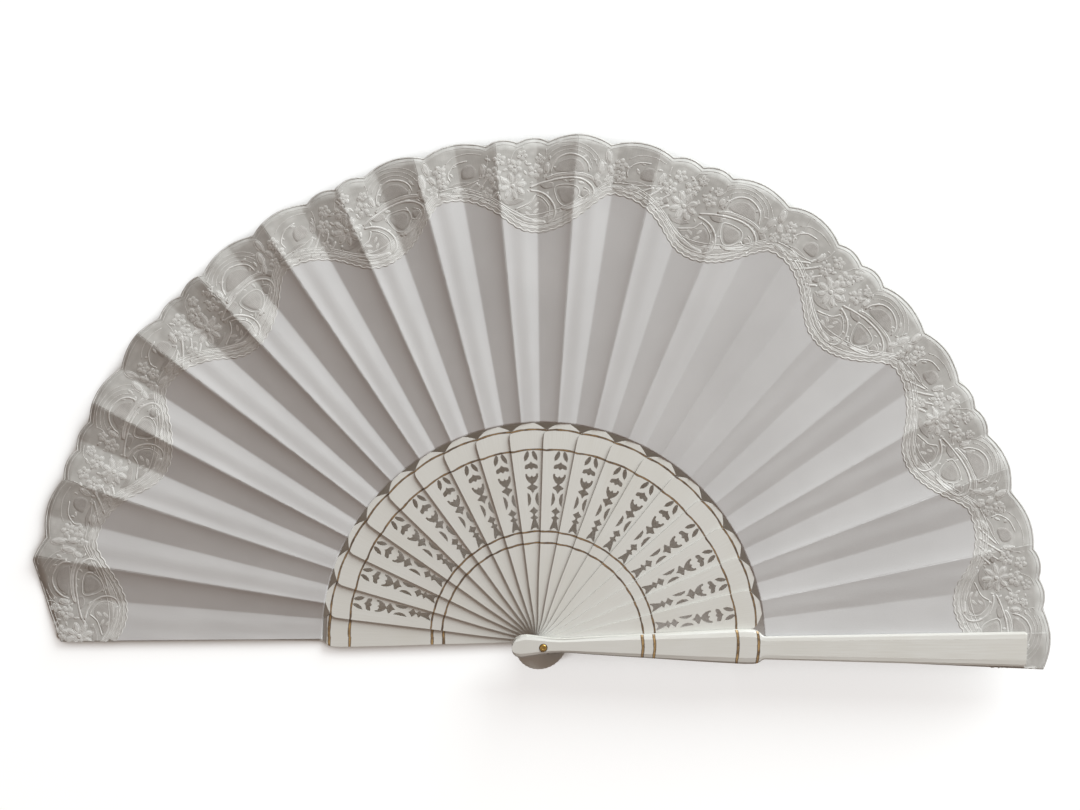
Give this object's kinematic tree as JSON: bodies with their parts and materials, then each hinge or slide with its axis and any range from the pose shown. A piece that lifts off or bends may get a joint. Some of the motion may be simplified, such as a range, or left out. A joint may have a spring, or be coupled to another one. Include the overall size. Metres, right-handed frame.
{
  "type": "folding hand fan",
  "caption": "Open folding hand fan: pierced wooden sticks on one rivet, plain outer guards, and a pleated fabric leaf with a scalloped lace edge.",
  "frame": {"origin": "on the rivet's axis at its flat back face, which is level with the rear guard's back", "axes": "+X along the front guard towards its tip, +Z from the back of the open fan to its front"},
  "size_m": [0.612, 0.3196, 0.0303],
  "materials": {
    "lacquered_wood": "warm white lacquer with four thin gold painted lines",
    "leaf_fabric": "matt white cotton, with an embroidered white lace edge",
    "brass_rivet": "polished"
  },
  "bodies": {
    "rear": {"rear_guard": "lacquered_wood", "leaf_pleat_00": "leaf_fabric", "leaf_fold_00": "leaf_fabric", "rivet": "brass_rivet"},
    "s01": {"stick_01": "lacquered_wood", "leaf_pleat_01": "leaf_fabric", "leaf_fold_01": "leaf_fabric"},
    "s02": {"stick_02": "lacquered_wood", "leaf_pleat_02": "leaf_fabric", "leaf_fold_02": "leaf_fabric"},
    "s03": {"stick_03": "lacquered_wood", "leaf_pleat_03": "leaf_fabric", "leaf_fold_03": "leaf_fabric"},
    "s04": {"stick_04": "lacquered_wood", "leaf_pleat_04": "leaf_fabric", "leaf_fold_04": "leaf_fabric"},
    "s05": {"stick_05": "lacquered_wood", "leaf_pleat_05": "leaf_fabric", "leaf_fold_05": "leaf_fabric"},
    "s06": {"stick_06": "lacquered_wood", "leaf_pleat_06": "leaf_fabric", "leaf_fold_06": "leaf_fabric"},
    "s07": {"stick_07": "lacquered_wood", "leaf_pleat_07": "leaf_fabric", "leaf_fold_07": "leaf_fabric"},
    "s08": {"stick_08": "lacquered_wood", "leaf_pleat_08": "leaf_fabric", "leaf_fold_08": "leaf_fabric"},
    "s09": {"stick_09": "lacquered_wood", "leaf_pleat_09": "leaf_fabric", "leaf_fold_09": "leaf_fabric"},
    "s10": {"stick_10": "lacquered_wood", "leaf_pleat_10": "leaf_fabric", "leaf_fold_10": "leaf_fabric"},
    "s11": {"stick_11": "lacquered_wood", "leaf_pleat_11": "leaf_fabric", "leaf_fold_11": "leaf_fabric"},
    "s12": {"stick_12": "lacquered_wood", "leaf_pleat_12": "leaf_fabric", "leaf_fold_12": "leaf_fabric"},
    "s13": {"stick_13": "lacquered_wood", "leaf_pleat_13": "leaf_fabric", "leaf_fold_13": "leaf_fabric"},
    "s14": {"stick_14": "lacquered_wood", "leaf_pleat_14": "leaf_fabric", "leaf_fold_14": "leaf_fabric"},
    "s15": {"stick_15": "lacquered_wood", "leaf_pleat_15": "leaf_fabric", "leaf_fold_15": "leaf_fabric"},
    "s16": {"stick_16": "lacquered_wood", "leaf_pleat_16": "leaf_fabric", "leaf_fold_16": "leaf_fabric"},
    "s17": {"stick_17": "lacquered_wood", "leaf_pleat_17": "leaf_fabric", "leaf_fold_17": "leaf_fabric"},
    "s18": {"stick_18": "lacquered_wood", "leaf_pleat_18": "leaf_fabric", "leaf_fold_18": "leaf_fabric"},
    "front": {"front_guard": "lacquered_wood", "leaf_pleat_19": "leaf_fabric"}
  },
  "joints": [
    {"name": "fold_01", "type": "hinge", "parent": "rear", "child": "s01", "pos_m": [0, 0, 0], "axis": [0, 0, 1], "range_deg": [0, 9.33], "deforming": ["leaf_fold_00"]},
    {"name": "fold_02", "type": "hinge", "parent": "s01", "child": "s02", "pos_m": [0, 0, 0], "axis": [0, 0, 1], "range_deg": [0, 9.33], "deforming": ["leaf_fold_01"]},
    {"name": "fold_03", "type": "hinge", "parent": "s02", "child": "s03", "pos_m": [0, 0, 0], "axis": [0, 0, 1], "range_deg": [0, 9.33], "deforming": ["leaf_fold_02"]},
    {"name": "fold_04", "type": "hinge", "parent": "s03", "child": "s04", "pos_m": [0, 0, 0], "axis": [0, 0, 1], "range_deg": [0, 9.33], "deforming": ["leaf_fold_03"]},
    {"name": "fold_05", "type": "hinge", "parent": "s04", "child": "s05", "pos_m": [0, 0, 0], "axis": [0, 0, 1], "range_deg": [0, 9.33], "deforming": ["leaf_fold_04"]},
    {"name": "fold_06", "type": "hinge", "parent": "s05", "child": "s06", "pos_m": [0, 0, 0], "axis": [0, 0, 1], "range_deg": [0, 9.33], "deforming": ["leaf_fold_05"]},
    {"name": "fold_07", "type": "hinge", "parent": "s06", "child": "s07", "pos_m": [0, 0, 0], "axis": [0, 0, 1], "range_deg": [0, 9.33], "deforming": ["leaf_fold_06"]},
    {"name": "fold_08", "type": "hinge", "parent": "s07", "child": "s08", "pos_m": [0, 0, 0], "axis": [0, 0, 1], "range_deg": [0, 9.33], "deforming": ["leaf_fold_07"]},
    {"name": "fold_09", "type": "hinge", "parent": "s08", "child": "s09", "pos_m": [0, 0, 0], "axis": [0, 0, 1], "range_deg": [0, 9.33], "deforming": ["leaf_fold_08"]},
    {"name": "fold_10", "type": "hinge", "parent": "s09", "child": "s10", "pos_m": [0, 0, 0], "axis": [0, 0, 1], "range_deg": [0, 9.33], "deforming": ["leaf_fold_09"]},
    {"name": "fold_11", "type": "hinge", "parent": "s10", "child": "s11", "pos_m": [0, 0, 0], "axis": [0, 0, 1], "range_deg": [0, 9.33], "deforming": ["leaf_fold_10"]},
    {"name": "fold_12", "type": "hinge", "parent": "s11", "child": "s12", "pos_m": [0, 0, 0], "axis": [0, 0, 1], "range_deg": [0, 9.33], "deforming": ["leaf_fold_11"]},
    {"name": "fold_13", "type": "hinge", "parent": "s12", "child": "s13", "pos_m": [0, 0, 0], "axis": [0, 0, 1], "range_deg": [0, 9.33], "deforming": ["leaf_fold_12"]},
    {"name": "fold_14", "type": "hinge", "parent": "s13", "child": "s14", "pos_m": [0, 0, 0], "axis": [0, 0, 1], "range_deg": [0, 9.33], "deforming": ["leaf_fold_13"]},
    {"name": "fold_15", "type": "hinge", "parent": "s14", "child": "s15", "pos_m": [0, 0, 0], "axis": [0, 0, 1], "range_deg": [0, 9.33], "deforming": ["leaf_fold_14"]},
    {"name": "fold_16", "type": "hinge", "parent": "s15", "child": "s16", "pos_m": [0, 0, 0], "axis": [0, 0, 1], "range_deg": [0, 9.33], "deforming": ["leaf_fold_15"]},
    {"name": "fold_17", "type": "hinge", "parent": "s16", "child": "s17", "pos_m": [0, 0, 0], "axis": [0, 0, 1], "range_deg": [0, 9.33], "deforming": ["leaf_fold_16"]},
    {"name": "fold_18", "type": "hinge", "parent": "s17", "child": "s18", "pos_m": [0, 0, 0], "axis": [0, 0, 1], "range_deg": [0, 9.33], "deforming": ["leaf_fold_17"]},
    {"name": "fold_19", "type": "hinge", "parent": "s18", "child": "front", "pos_m": [0, 0, 0], "axis": [0, 0, 1], "range_deg": [0, 10.4], "deforming": ["leaf_fold_18"]}
  ],
  "couplings": [
    {"joint": "fold_02", "follows": "fold_01", "ratio": 1},
    {"joint": "fold_03", "follows": "fold_01", "ratio": 1},
    {"joint": "fold_04", "follows": "fold_01", "ratio": 1},
    {"joint": "fold_05", "follows": "fold_01", "ratio": 1},
    {"joint": "fold_06", "follows": "fold_01", "ratio": 1},
    {"joint": "fold_07", "follows": "fold_01", "ratio": 1},
    {"joint": "fold_08", "follows": "fold_01", "ratio": 1},
    {"joint": "fold_09", "follows": "fold_01", "ratio": 1},
    {"joint": "fold_10", "follows": "fold_01", "ratio": 1},
    {"joint": "fold_11", "follows": "fold_01", "ratio": 1},
    {"joint": "fold_12", "follows": "fold_01", "ratio": 1},
    {"joint": "fold_13", "follows": "fold_01", "ratio": 1},
    {"joint": "fold_14", "follows": "fold_01", "ratio": 1},
    {"joint": "fold_15", "follows": "fold_01", "ratio": 1},
    {"joint": "fold_16", "follows": "fold_01", "ratio": 1},
    {"joint": "fold_17", "follows": "fold_01", "ratio": 1},
    {"joint": "fold_18", "follows": "fold_01", "ratio": 1},
    {"joint": "fold_19", "follows": "fold_01", "ratio": 1.1147}
  ]
}
